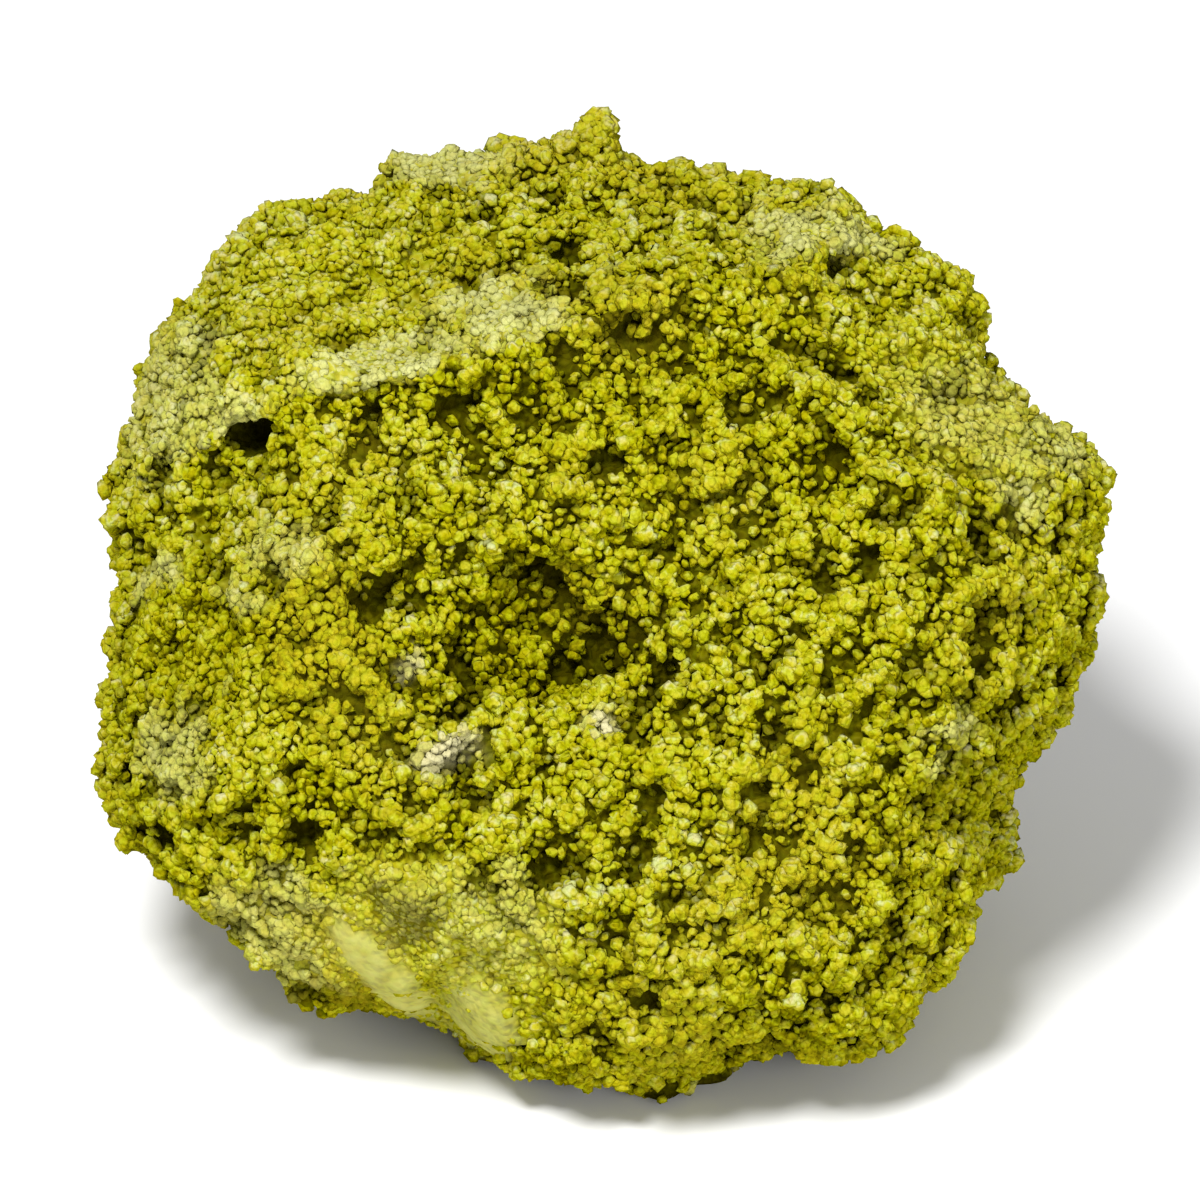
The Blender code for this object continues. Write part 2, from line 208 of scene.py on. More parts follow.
# How the crumbs lie on the mass.
CRUMB_SIZES = (0.45, 0.84)  # radius in mm
CRUMB_DROP = 0.52  # mm of a crumb's middle below the outer form, so that its tips reach it
CRUMB_STRETCH = ((0.8, 0.8, 0.8), (1.25, 1.25, 1.15))
CRUMB_TURN = ((-0.5, -0.5, 0.0), (0.5, 0.5, math.tau))
CRUMB_TRIES = 9.0e6  # a square metre, before the spacing thins them
CROWN_GROWTH = 0.36  # of the crumbs on the head of a clump, over those in the creases
CREASE_LOSS = 0.3  # share of that growth by which those in the creases are smaller
CRUMB_LIFT = 0.28  # mm up or down, at random
KIND_SEED = 100
PATCH_SEED = 11
BACK_EDGE = -0.12  # how far round the side the display side's finer crumbs go
PATCHES = {  # name: (at the back, first turn, last turn, spacing in mm, size)
    "crumbs_right": (False, -36, 36, 0.535, 1.0),
    "crumbs_upper_right": (False, 36, 100, 0.535, 1.0),
    "crumbs_upper_left": (False, 100, 165, 0.535, 1.0),
    "crumbs_left": (False, 165, 235, 0.535, 1.0),
    "crumbs_lower": (False, 235, 324, 0.535, 1.0),
    "crumbs_back_right": (True, -90, 30, 1.15, 1.75),
    "crumbs_back_upper": (True, 30, 150, 1.15, 1.75),
    "crumbs_back_left": (True, 150, 270, 1.15, 1.75),
}

# The skin that fuses the crumbs, in mm.
SKIN_GRID = 0.68
SKIN_DROP = 0.86  # below the crumbs' own surface
PIT_DROP = 0.9  # further below it in a crevice
LOOSE = 1.0  # of its radius above the skin, past which a crumb's middle is moved down
SEATED = 0.8  # of its radius above the skin, where it then lies
TIP_HEIGHT = 2.4  # above the mass at which the skin is at its palest, with painted shade lower down
NO_MARKING = 0.5  # where the grains carry none
MAP_MARGIN = 0.02  # of a piece's bake map, round each side of its box

# The clay's surface: noises a metre, the curled rims on every crumb, and the knobs, whose tone
# paints shade at their edges.
BROAD_SCALE = 75.0
FLECK_SCALE = 600.0
CURL_SCALE = 1500.0
RIM_WIDTH = 0.28
RIM_HEIGHT = 0.07 * MM
KNOB_MIDDLE = 0.35
KNOB_POWER = 2.0
CRUMB_KNOBS = {"Knob Scale": 2300.0, "Knob Height": 0.19 * MM, "Knob Tone": 0.24}
MASS_KNOBS = {"Knob Scale": 1400.0, "Knob Height": 0.42 * MM, "Knob Tone": 0.45}
ROUGHNESS = (0.82, 1.0)

# Colours, as linear red, green and blue.
PALE = (0.43, 0.43, 0.19, 1)
LIT = (0.375, 0.362, 0.020, 1)
MIDDLE = (0.30, 0.284, 0.002, 1)
SHADE = (0.115, 0.103, 0.0002, 1)
# The near black below is painted shade in the crevices and the low gaps.
PORE_SHADE = (0.010, 0.0085, 0.0003, 1)
GREENER = (0.955, 1.022, 0.92, 1)
YELLOWER = (1.035, 0.98, 1.0, 1)
DUST = (0.45, 0.452, 0.172, 1)
CHALK = (0.50, 0.46, 0.27, 1)
OCHRE = (0.34, 0.29, 0.010, 1)

# The tone at which the clay takes each colour, and the noise over which others come in.
TONES = ((0.05, SHADE), (0.42, MIDDLE), (0.72, LIT), (1.0, PALE))
OCHRE_BAND = (0.5, 0.75)
OCHRE_SHARE = 0.45
HUE_BAND = (0.36, 0.64)

# What moves the tone or the dust: (times, plus).
FLECK_TONE = (0.7, -0.35)
RIM_TONE = (0.26, -0.10)
# Faces that look up are paler: painted light from above.
UPWARD_TONE = (0.24, -0.08)
DUST_FRAY = (1.2, -0.6)
MASS_BARE_TONE = (0.33, 0.06)
CRUMB_CROWN_TONE = (0.23, 0.075)
CRUMB_SHADE_TONE = (0.20, -0.14)
MASS_DUST_REACH = (1.2, 0.1)
CRUMB_DUST_REACH = (0.3, 0.55)

# What each marking gives to the tone, the dust or the dark of a piece. The tone and dark that come
# from the tips, the heads of the clumps, the low places and the tone patches are painted light and
# shade.
LIGHT_AND_SHADE_TONE = 0.28
MASS_CROWN_TONE = 0.12
CRUMB_TIP_TONE = 0.36
CRUMB_SMEAR_TONE = 0.16
BARE_SPREAD = 1.5
LOW_DARK = 0.88
TIP_LIFTS_DARK = 0.55
BARE_LIFTS_DARK = 1.4
# Shares of painted shade in the crevices.
MASS_PORE_SHADE = 0.8
CRUMB_PORE_SHADE = 0.75
MASS_DUST = 0.5
FLAT_DUST = 0.45
FLAT_CALM = 0.85

# The studio, in metres and watts.
SKY = 0.40
WHITE = (1, 1, 1, 1)
PAPER = (0.9, 0.9, 0.9, 1)
PAPER_ROUGHNESS = 0.9
FLOOR_RADIUS = 2.0
LIGHTS = {  # name: (place, width, power)
    "key": ((-0.18, -0.46, 0.76), 0.22, 9.9),
    "fill": ((0.40, -0.75, 0.22), 0.6, 4.2),
}
LIGHT_AIM = (0, 0, 0.03)


def smooth_step(low, high, value):
    t = np.clip((value - low) / (high - low), 0, 1)
    return t * t * (3 - 2 * t)


def mesh_points(mesh):
    flat = np.empty(len(mesh.vertices) * 3, np.float32)
    mesh.vertices.foreach_get("co", flat)
    return flat.reshape(-1, 3).astype(float)


def mesh_normals(mesh):
    flat = np.empty(len(mesh.vertices) * 3, np.float32)
    mesh.vertex_normals.foreach_get("vector", flat)
    return flat.reshape(-1, 3).astype(float)


def set_points(mesh, points):
    mesh.vertices.foreach_set("co", points.astype(np.float32).ravel())
    mesh.update()


def store(mesh, name, values):
    """Keeps one number a point on the mesh, for the materials and the grains to read."""
    attribute = mesh.attributes.new(name, "FLOAT", "POINT")
    attribute.data.foreach_set("value", np.asarray(values, np.float32))


def read_back(mesh, name):
    values = np.empty(len(mesh.vertices), np.float32)
    mesh.attributes[name].data.foreach_get("value", values)
    return values.astype(float)


def link(obj):
    bpy.context.scene.collection.objects.link(obj)
    return obj


def bake(obj):
    """The object's mesh with its modifiers applied, as a mesh of its own."""
    graph = bpy.context.evaluated_depsgraph_get()
    graph.update()
    return bpy.data.meshes.new_from_object(obj.evaluated_get(graph))


def display_middle():
    """The middle of the outline seen from the display side, in metres."""
    points = mesh_points(frame["nodes"][NODE].data)
    across = points @ RIGHT
    up = points @ UP
    out = points @ TOWARDS
    middle = RIGHT * (across.min() + across.max()) / 2 + UP * (up.min() + up.max()) / 2
    return middle + TOWARDS * (out.min() + out.max()) / 2


MIDDLE_POINT = display_middle()


def display_place(points):
    """(right, up, towards the viewer) of each point, in mm from the display side's middle."""
    local = (points - MIDDLE_POINT) / MM
    return np.stack([local @ RIGHT, local @ UP, local @ TOWARDS], axis=1)


def table_row(cell):
    """A row of a table of random numbers that depends on the cell alone."""
    first, second, third = CELL_PRIMES
    return (cell[:, 0] * first ^ cell[:, 1] * second ^ cell[:, 2] * third) % TABLE_ROWS


def smooth_noise(places, spacing, seed, width=1):
    """Smooth random numbers from -1 to 1 on a lattice of this spacing, width of them a place."""
    table = np.random.default_rng(seed).uniform(-1, 1, (TABLE_ROWS, width))
    scaled = places / spacing + SEED_SHIFT * seed
    home = np.floor(scaled).astype(np.int64)
    part = scaled - home
    part = part * part * (3 - 2 * part)
    total = np.zeros((len(places), width))
    for step in itertools.product((0, 1), repeat=3):
        share = np.prod(np.where(np.array(step) == 1, part, 1 - part), axis=1)
        total += share[:, None] * table[table_row(home + step)]
    return total if width > 1 else total[:, 0]


def patch_mask(place, facing, patches, stray):
    """How much each point is in one of the listed patches of the display side."""
    wide = smooth_noise(place, STRAY_SPACINGS[0], seed=7, width=3)
    fine = smooth_noise(place, STRAY_SPACINGS[1], seed=8, width=3)
    strayed = place + stray * (wide + STRAY_FINER * fine)
    mask = np.zeros(len(place))
    for right, up, half_width, half_height, turn, strength in patches:
        turn = math.radians(turn)
        across = (strayed[:, 0] - right) * math.cos(turn) + (strayed[:, 1] - up) * math.sin(turn)
        along = (strayed[:, 1] - up) * math.cos(turn) - (strayed[:, 0] - right) * math.sin(turn)
        away = np.hypot(across / half_width, along / half_height)
        mask = np.maximum(mask, strength * smooth_step(*PLACE_EDGE, away))
    return mask * facing


def light_and_shade_of(place, facing):
    """How much paler or more olive each point is than the rest, as painted light and shade."""
    tint = np.zeros(len(place))
    for *patch, strength in LIGHT_AND_SHADE_PATCHES:
        tint += strength * patch_mask(place, facing, ((*patch, 1.0),), STRAY["tint"])
    return tint


def cell_gaps(places, spacing, seed):
    """The difference between the distances to the two nearest cell middles, in spacings."""
    middles = np.random.default_rng(seed).random((TABLE_ROWS, 3))
    scaled = places / spacing
    home = np.floor(scaled).astype(np.int64)
    nearest = np.full(len(places), np.inf)
    second = np.full(len(places), np.inf)
    for step in itertools.product((-1, 0, 1), repeat=3):
        cell = home + step
        away = np.linalg.norm(cell + middles[table_row(cell)] - scaled, axis=1)
        second = np.minimum(second, np.maximum(nearest, away))
        nearest = np.minimum(nearest, away)
    return second - nearest


def make_bed():
    """The mass's own form on an even grid, with the relief and the markings stored on it."""
    mesh = frame["nodes"][NODE].data.copy()
    mesh.name = "porous_mass"
    mesh.materials.clear()
    bm = bmesh.new()
    bm.from_mesh(mesh)
    bmesh.ops.remove_doubles(bm, verts=bm.verts, dist=WELD * MM)
    bm.to_mesh(mesh)
    bm.free()
    bed = link(bpy.data.objects.new("porous_mass", mesh))
    remesh = bed.modifiers.new("even grid", "REMESH")
    remesh.mode = "VOXEL"
    remesh.voxel_size = MASS_GRID * MM
    soften = bed.modifiers.new("soften facets", "SMOOTH")
    soften.factor = SMOOTHING
    soften.iterations = SMOOTHING_ROUNDS
    bed.data = bake(bed)
    bed.modifiers.clear()
    mark_bed(bed.data)
    return bed


def mark_bed(mesh):
    """Stores on the bed the height of its clumps and crevices, and what the materials read."""
    points = mesh_points(mesh)
    normals = mesh_normals(mesh)
    place = display_place(points)
    facing = smooth_step(*FACING, normals @ TOWARDS)
    flat = patch_mask(place, facing, FLAT, STRAY["flat"])
    fine = patch_mask(place, facing, FINE, STRAY["fine"])
    dust = patch_mask(place, facing, DUSTY, STRAY["dust"])
    rubbed = smooth_noise(points / MM, RUBBED_SPACING, seed=11)
    rubbed += RUBBED_FRAY * smooth_noise(points / MM, RUBBED_FRAY_SPACING, seed=12)
    dust = np.maximum(dust, RUBBED_DUST * smooth_step(*RUBBED, rubbed) * (1 - facing))
    chalk = patch_mask(place, facing, CHALKY, STRAY["chalk"])
    tint = light_and_shade_of(place, facing)
    raised = patch_mask(place, facing, RAISED, STRAY["raised"])
    smear = np.maximum(np.maximum(fine, dust), CHALK_SMEAR * chalk)

    warped = points / MM + WARP * smooth_noise(points / MM, WARP_SPACING, seed=1, width=3)
    crown = smooth_step(0.0, CREASE, cell_gaps(warped, CLUMP_SPACING, seed=1))
    knot = smooth_step(0.0, CREASE, cell_gaps(warped, KNOT_SPACING, seed=2))
    gap = cell_gaps(warped, CREVICE_SPACING, seed=3)
    probe = cell_gaps(warped + PROBE * normals, CREVICE_SPACING, seed=3)
    lie = np.abs(probe - gap) * CREVICE_SPACING / (2 * PROBE)
    open_here = smooth_step(*CREVICE_SHARE, smooth_noise(warped, CREVICE_BREAK, seed=4))
    open_here *= smooth_step(*CREVICE_LIE, lie)
    whole = np.clip(raised, 0, 1)
    rough = (1 - flat) * (1 - SMEARED["relief"] * smear) * (1 - RAISED_CALM * whole)
    open_here = open_here * (1 - flat) * (1 - SMEARED["crevices"] * smear) * (1 - whole)
    crevice = smooth_step(*CREVICE, gap) * open_here
    height = CLUMP_HEIGHT * (crown - 1) + KNOT_HEIGHT * (knot - 1)
    height = height * rough - CREVICE_DEPTH * crevice + RAISE * raised
    rest = smooth_step(*REST_BAND, points[:, 2] / MM)

    store(mesh, "height", height * rest * MM)
    store(mesh, "rest", rest)
    store(mesh, "pore", crevice)
    store(mesh, "crown", np.clip(1 + height, 0, 1))
    store(mesh, "dust", dust)
    store(mesh, "chalk", chalk)
    store(mesh, "smear", smear)
    store(mesh, "flat", flat)
    store(mesh, "tint", tint)
    store(mesh, "crumb_share", (1 - flat) * rest)


def sink_into_mass(bed):
    """Turns the bed into the porous mass that the crumbs sit in."""
    mesh = bed.data
    points = mesh_points(mesh)
    smeared = SMEARED["mass drop"] * read_back(mesh, "smear")
    covered = (1 - read_back(mesh, "flat")) * (1 - smeared)
    drop = read_back(mesh, "height") - MASS_DROP * MM * covered * read_back(mesh, "rest")
    points += mesh_normals(mesh) * drop[:, None]
    points[:, 2] = np.maximum(points[:, 2], BED_CLEARANCE * MM)
    set_points(mesh, points)
    mesh.shade_smooth()


def mark_patches(mesh):
    """Numbers the faces by the patch of crumbs that covers them."""
    middles = np.empty(len(mesh.polygons) * 3, np.float32)
    mesh.polygons.foreach_get("center", middles)
    place = display_place(middles.reshape(-1, 3).astype(float))
    turn = np.degrees(np.arctan2(place[:, 1], place[:, 0]))
    behind = place[:, 2] / np.linalg.norm(place, axis=1) < BACK_EDGE
    number = np.zeros(len(place), np.int32)
    for count, (at_back, first, last, _, _) in enumerate(PATCHES.values()):
        number[(behind == at_back) & (np.mod(turn - first, 360) < last - first)] = count
    attribute = mesh.attributes.new("patch", "INT", "FACE")
    attribute.data.foreach_set("value", number)


# Of a random value node: the lowest, the highest, and what it puts out.
RANDOM_SOCKETS = {"FLOAT_VECTOR": (0, 1, 0), "FLOAT": (2, 3, 1), "INT": (4, 5, 2)}
# Of a mix node for colours: the share and the two colours, and what it puts out.
MIX_SOCKETS = (0, 6, 7)
MIX_RESULT = 2


class Tree:
    """Short calls for making a node tree."""

    def __init__(self, tree):
        self.tree = tree

    def node(self, kind, **settings):
        made = self.tree.nodes.new(kind)
        inputs = settings.pop("inputs", {})
        for name, value in settings.items():
            setattr(made, name, value)
        for key, value in inputs.items():
            self.feed(made.inputs[key], value)
        return made

    def feed(self, socket, value):
        if isinstance(value, bpy.types.NodeSocket):
            self.tree.links.new(value, socket)
        elif isinstance(value, bpy.types.Node):
            self.tree.links.new(value.outputs[0], socket)
        else:
            socket.default_value = value

    def math(self, operation, first, second=0.0, clamp=False):
        made = self.node("ShaderNodeMath", operation=operation, use_clamp=clamp)
        self.feed(made.inputs[0], first)
        self.feed(made.inputs[1], second)
        return made.outputs[0]

    def named(self, name, kind="FLOAT"):
        """What is stored on a geometry under this name."""
        inputs = {"Name": name}
        reader = self.node("GeometryNodeInputNamedAttribute", data_type=kind, inputs=inputs)
        return reader.outputs["Attribute"]

    def times_plus(self, value, times, plus, clamp=False):
        """The value, times one number and plus another."""
        made = self.node("ShaderNodeMath", operation="MULTIPLY_ADD", use_clamp=clamp)
        for socket, given in zip(made.inputs, (value, times, plus)):
            self.feed(socket, given)
        return made.outputs[0]

    def less(self, value, share):
        """1 less this share of the value."""
        return self.times_plus(value, -share, 1.0)

    def scaled(self, vector, factor):
        made = self.node("ShaderNodeVectorMath", operation="SCALE", inputs={0: vector})
        self.feed(made.inputs["Scale"], factor)
        return made.outputs[0]

    def mixed(self, share, first, second, blend="MIX"):
        """Two colours, mixed or blended by this share of the second."""
        made = self.node("ShaderNodeMix", data_type="RGBA", blend_type=blend)
        for socket, given in zip(MIX_SOCKETS, (share, first, second)):
            self.feed(made.inputs[socket], given)
        return made.outputs[MIX_RESULT]

    def random(self, kind, low, high, seed=0):
        """A random value between these two, for each crumb."""
        first, second, out = RANDOM_SOCKETS[kind]
        made = self.node("FunctionNodeRandomValue", data_type=kind)
        for socket, given in ((first, low), (second, high), ("Seed", seed)):
            self.feed(made.inputs[socket], given)
        return made.outputs[out]

    def stored(self, geometry, name, value, domain="POINT"):
        """The geometry with this value stored on it."""
        inputs = {"Geometry": geometry, "Name": name, "Value": value}
        kind = "GeometryNodeStoreNamedAttribute"
        return self.node(kind, data_type="FLOAT", domain=domain, inputs=inputs).outputs[0]

    def painted(self, geometry, material):
        """Ends a geometry tree: smooth, and of this material."""
        smooth = self.node("GeometryNodeSetShadeSmooth", inputs={0: geometry})
        inputs = {"Geometry": smooth, "Material": material}
        painted = self.node("GeometryNodeSetMaterial", inputs=inputs)
        self.node("NodeGroupOutput", inputs={0: painted})


def group_with(name, kind, inputs, outputs):
    """An empty node group with these named sockets, as (name, type, value or None)."""
    group = bpy.data.node_groups.new(name, kind)
    for in_out, sockets in (("INPUT", inputs), ("OUTPUT", outputs)):
        for label, socket_type, value in sockets:
            socket = group.interface.new_socket(label, in_out=in_out, socket_type=socket_type)
            if value is not None:
                socket.default_value = value
    return group


def crumb_kind(number):
    """One kind of crumb: a lump of fused round lobes with its low side cut short."""
    luck = np.random.default_rng(KIND_SEED + number)
    count = luck.integers(*LOBE_COUNT)
    middles = luck.normal(size=(count, 3))
    middles /= np.linalg.norm(middles, axis=1)[:, None]
    middles[:, 2] = np.abs(middles[:, 2]) * LOBE_SQUASH
    middles *= luck.uniform(*LOBE_REACH, count)[:, None]
    sizes = luck.uniform(*LOBE_RADIUS, count)
    bm = bmesh.new()
    bmesh.ops.create_icosphere(bm, subdivisions=3, radius=1.0)
    for vert in bm.verts:
        ray = np.array(vert.co)
        along = middles @ ray
        reach = sizes**2 - np.sum(middles**2, axis=1) + along**2
        hits = np.where(reach > 0, along + np.sqrt(np.maximum(reach, 0)), 0.0)
        vert.co = Vector(ray * max(hits.max(), CORE_RADIUS))
        vert.co.z = max(vert.co.z, CRUMB_BASE)
    mesh = bpy.data.meshes.new(f"crumb_kind_{number}")
    bm.to_mesh(mesh)
    bm.free()
    kind = link(bpy.data.objects.new(mesh.name, mesh))
    thin = kind.modifiers.new("fewer triangles", "DECIMATE")
    thin.ratio = CRUMB_TRIANGLES / len(mesh.polygons)
    kind.data = bake(kind)
    kind.modifiers.clear()
    points = mesh_points(kind.data)
    far = np.linalg.norm(points, axis=1)
    # How far out and how high each point of the crumb lies, which its material paints from dark to
    # pale as shade and light.
    lobe = smooth_step(*TIP_REACH, far)
    rise = smooth_step(*TIP_RISE, points[:, 2])
    store(kind.data, "tip", 0.5 * lobe + 0.5 * rise)
    return kind


def make_crumb_kinds():
    """The kinds of crumb, in a collection for the nodes to pick from."""
    kinds = bpy.data.collections.new("crumb kinds")
    bpy.context.scene.collection.children.link(kinds)
    for number in range(CRUMB_KINDS):
        kind = crumb_kind(number)
        bpy.context.scene.collection.objects.unlink(kind)
        kinds.objects.link(kind)
    return kinds


def clear_crumb_kinds(kinds):
    for kind in list(kinds.objects):
        bpy.data.objects.remove(kind)
    bpy.data.collections.remove(kinds)


def make_crumb_nodes():
    """Geometry nodes that scatter crumbs over one patch of the mass."""
    group = group_with(
        "fused crumbs",
        "GeometryNodeTree",
        (
            ("Geometry", "NodeSocketGeometry", None),
            ("Kinds", "NodeSocketCollection", None),
            ("Patch", "NodeSocketInt", 0),
            ("Spacing", "NodeSocketFloat", 0.001),
            ("Least Radius", "NodeSocketFloat", 0.0004),
            ("Most Radius", "NodeSocketFloat", 0.0008),
            ("Drop", "NodeSocketFloat", 0.0006),
            ("Lift", "NodeSocketFloat", 0.0002),
            ("Seed", "NodeSocketInt", 1),
            ("Material", "NodeSocketMaterial", None),
        ),
        (("Geometry", "NodeSocketGeometry", None),),
    )
    t = Tree(group)
    given = t.node("NodeGroupInput").outputs
    named = t.named

    in_patch = t.node(
        "FunctionNodeCompare",
        data_type="INT",
        operation="EQUAL",
        inputs={2: named("patch", "INT"), 3: given["Patch"]},
    )
    spread = t.node(
        "GeometryNodeDistributePointsOnFaces",
        distribute_method="POISSON",
        inputs={
            "Mesh": given["Geometry"],
            "Selection": in_patch,
            "Distance Min": given["Spacing"],
            "Density Max": CRUMB_TRIES,
            "Density Factor": named("crumb_share"),
            "Seed": given["Seed"],
        },
    )
    deeper = t.less(named("smear"), SMEARED["crumb drop"])
    drop = t.math("MULTIPLY", t.math("MULTIPLY", given["Drop"], named("rest")), deeper)
    sink = t.math("SUBTRACT", named("height"), drop)
    down = t.scaled(spread.outputs["Normal"], sink)
    inputs = {"Geometry": spread.outputs["Points"], "Offset": down}
    sunk = t.node("GeometryNodeSetPosition", inputs=inputs)
    kinds = t.node("GeometryNodeCollectionInfo", inputs={0: given["Kinds"], 1: True, 2: True})

    size = t.random("FLOAT", given["Least Radius"], given["Most Radius"], given["Seed"])
    finer = t.less(named("smear"), SMEARED["crumb size"])
    least = 1.0 - CREASE_LOSS * CROWN_GROWTH
    fuller = t.times_plus(named("crown"), CROWN_GROWTH, least)
    radius = t.math("MULTIPLY", t.math("MULTIPLY", size, finer), fuller)
    scale = t.scaled(t.random("FLOAT_VECTOR", *CRUMB_STRETCH), radius)
    turn = t.random("FLOAT_VECTOR", *CRUMB_TURN)
    rotation = t.node(
        "FunctionNodeRotateRotation",
        rotation_space="LOCAL",
        inputs={0: spread.outputs["Rotation"], 1: turn},
    )
    placed = t.node(
        "GeometryNodeInstanceOnPoints",
        inputs={
            "Points": sunk,
            "Instance": kinds,
            "Pick Instance": True,
            "Instance Index": t.random("INT", 0, CRUMB_KINDS - 1),
            "Rotation": rotation,
            "Scale": scale,
        },
    )
    calmer = t.less(named("smear"), SMEARED["crumb lift"])
    up_or_down = t.random("FLOAT", -1.0, 1.0)
    lift = t.math("MULTIPLY", t.math("MULTIPLY", up_or_down, given["Lift"]), calmer)
    offset = t.node("ShaderNodeCombineXYZ", inputs={"Z": lift})
    lifted = t.node(
        "GeometryNodeTranslateInstances",
        inputs={"Instances": placed, "Translation": offset, "Local Space": True},
    )
    shaded = t.stored(lifted.outputs[0], "shade", t.random("FLOAT", 0.0, 1.0), "INSTANCE")
    real = t.node("GeometryNodeRealizeInstances", inputs={0: shaded})
    t.painted(real.outputs[0], given["Material"])
    return group


def with_nodes(obj, group, values):
    """The object's mesh after these geometry nodes, with their named inputs set."""
    modifier = obj.modifiers.new(group.name, "NODES")
    modifier.node_group = group
    for item in group.interface.items_tree:
        if item.in_out == "INPUT" and item.name in values:
            modifier[item.identifier] = values[item.name]
    mesh = bake(obj)
    obj.modifiers.clear()
    return mesh


def make_crumbs(bed, group, kinds, name, number, material):
    """The crumbs of one patch, as one mesh."""
    spacing, size = PATCHES[name][3:]
    values = {
        "Kinds": kinds,
        "Patch": number,
        "Spacing": spacing * MM,
        "Least Radius": CRUMB_SIZES[0] * size * MM,
        "Most Radius": CRUMB_SIZES[1] * size * MM,
        "Drop": CRUMB_DROP * size * MM,
        "Lift": CRUMB_LIFT * MM,
        "Seed": PATCH_SEED + number,
        "Material": material,
    }
    mesh = with_nodes(bed, group, values)
    mesh.name = name
    points = mesh_points(mesh)
    points[:, 2] = np.maximum(points[:, 2], 0.0)
    set_points(mesh, points)
    return link(bpy.data.objects.new(name, mesh))


def triangles_of(mesh):
    mesh.calc_loop_triangles()
    flat = np.empty(len(mesh.loop_triangles) * 3, np.int32)
    mesh.loop_triangles.foreach_get("vertices", flat)
    return flat.reshape(-1, 3)


def mesh_from(name, points, faces):
    """A mesh of faces that all have the same number of corners."""
    mesh = bpy.data.meshes.new(name)
    mesh.vertices.add(len(points))
    mesh.vertices.foreach_set("co", points.astype(np.float32).ravel())
    mesh.loops.add(faces.size)
    mesh.loops.foreach_set("vertex_index", faces.astype(np.int32).ravel())
    mesh.polygons.add(len(faces))
    starts = np.arange(0, faces.size, faces.shape[1], dtype=np.int32)
    mesh.polygons.foreach_set("loop_start", starts)
    mesh.update(calc_edges=True)
    return mesh


def joined(name, meshes):
    """One mesh of the triangles of several, with the markings that the fused grains keep."""
    points = [mesh_points(mesh) for mesh in meshes]
    starts = np.cumsum([0] + [len(part) for part in points])
    faces = [triangles_of(mesh) + start for mesh, start in zip(meshes, starts)]
    made = mesh_from(name, np.concatenate(points), np.concatenate(faces))
    for marking in MARKINGS:
        parts = []
        for mesh in meshes:
            if marking in mesh.attributes:
                parts.append(read_back(mesh, marking))
            else:
                parts.append(np.full(len(mesh.vertices), NO_MARKING))
        store(made, marking, np.concatenate(parts))
    return made


def make_marking_nodes():
    """Geometry nodes that give a fused surface the markings of the grains it was made from."""
    group = group_with(
        "markings of the grains",
        "GeometryNodeTree",
        (
            ("Geometry", "NodeSocketGeometry", None),
            ("Grains", "NodeSocketObject", None),
            ("Mass", "NodeSocketObject", None),
            ("Tip Height", "NodeSocketFloat", 0.001),
            ("Material", "NodeSocketMaterial", None),
        ),
        (("Geometry", "NodeSocketGeometry", None),),
    )
    t = Tree(group)
    given = t.node("NodeGroupInput").outputs

    def shape_of(label):
        return t.node("GeometryNodeObjectInfo", inputs={"Object": given[label]}).outputs["Geometry"]

    def nearest(shape, value, kind):
        inputs = {"Mesh": shape, "Value": value}
        sampled = t.node("GeometryNodeSampleNearestSurface", data_type=kind, inputs=inputs)
        return sampled.outputs["Value"]

    grains = shape_of("Grains")
    geometry = given["Geometry"]
    for marking in MARKINGS:
        geometry = t.stored(geometry, marking, nearest(grains, t.named(marking), "FLOAT"))
    # How high each point lies above the mass, for the painted shade low between the crumbs.
    place = t.node("GeometryNodeInputPosition").outputs[0]
    below = nearest(shape_of("Mass"), place, "FLOAT_VECTOR")
    away = t.node("ShaderNodeVectorMath", operation="DISTANCE", inputs={0: place, 1: below})
    rise = t.math("DIVIDE", away.outputs["Value"], given["Tip Height"], True)
    t.painted(t.stored(geometry, "tip", rise), given["Material"])
    return group


def make_skin(grains, mass, material):
    """One skin round all the grains and the mass, just below the grains' own surface."""
    skin = link(bpy.data.objects.new("porous_mass", grains.data))
    remesh = skin.modifiers.new("one skin", "REMESH")
    remesh.mode = "VOXEL"
    remesh.voxel_size = SKIN_GRID * MM
    skin.data = bake(skin)
    skin.modifiers.clear()
    values = {
        "Grains": grains,
        "Mass": mass,
        "Tip Height": TIP_HEIGHT * MM,
        "Material": material,
    }
    skin.data = with_nodes(skin, make_marking_nodes(), values)
    skin.data.name = "porous_mass"
    points = mesh_points(skin.data)
    smeared = SMEARED["skin drop"] * read_back(skin.data, "smear")
    bare = np.maximum(read_back(skin.data, "flat"), smeared)
    rest = smooth_step(*REST_BAND, points[:, 2] / MM)
    drop = (SKIN_DROP * (1 - bare) + PIT_DROP * read_back(skin.data, "pore")) * MM * rest
    points -= mesh_normals(skin.data) * drop[:, None]
    points[:, 2] = np.maximum(points[:, 2], 0.0)
    set_points(skin.data, points)
    return skin


def settle(crumbs, skin_tree):
    """Moves each crumb that hangs clear of the skin down onto it."""
    points = mesh_points(crumbs)
    crumb = np.unique(read_back(crumbs, "shade"), return_inverse=True)[1].reshape(-1)
    count = np.bincount(crumb)
    middles = np.stack([np.bincount(crumb, along) / count for along in points.T], axis=1)
    far = np.linalg.norm(points - middles[crumb], axis=1)
    radius = np.bincount(crumb, far) / count
    shift = np.zeros(middles.shape)
    for number, middle in enumerate(middles):
        place, normal, _, away = skin_tree.find_nearest(middle)
        if away > LOOSE * radius[number] and (Vector(middle) - place).dot(normal) > 0:
            shift[number] = (np.array(place) - middle) * (1 - SEATED * radius[number] / away)
    set_points(crumbs, points + shift[crumb])


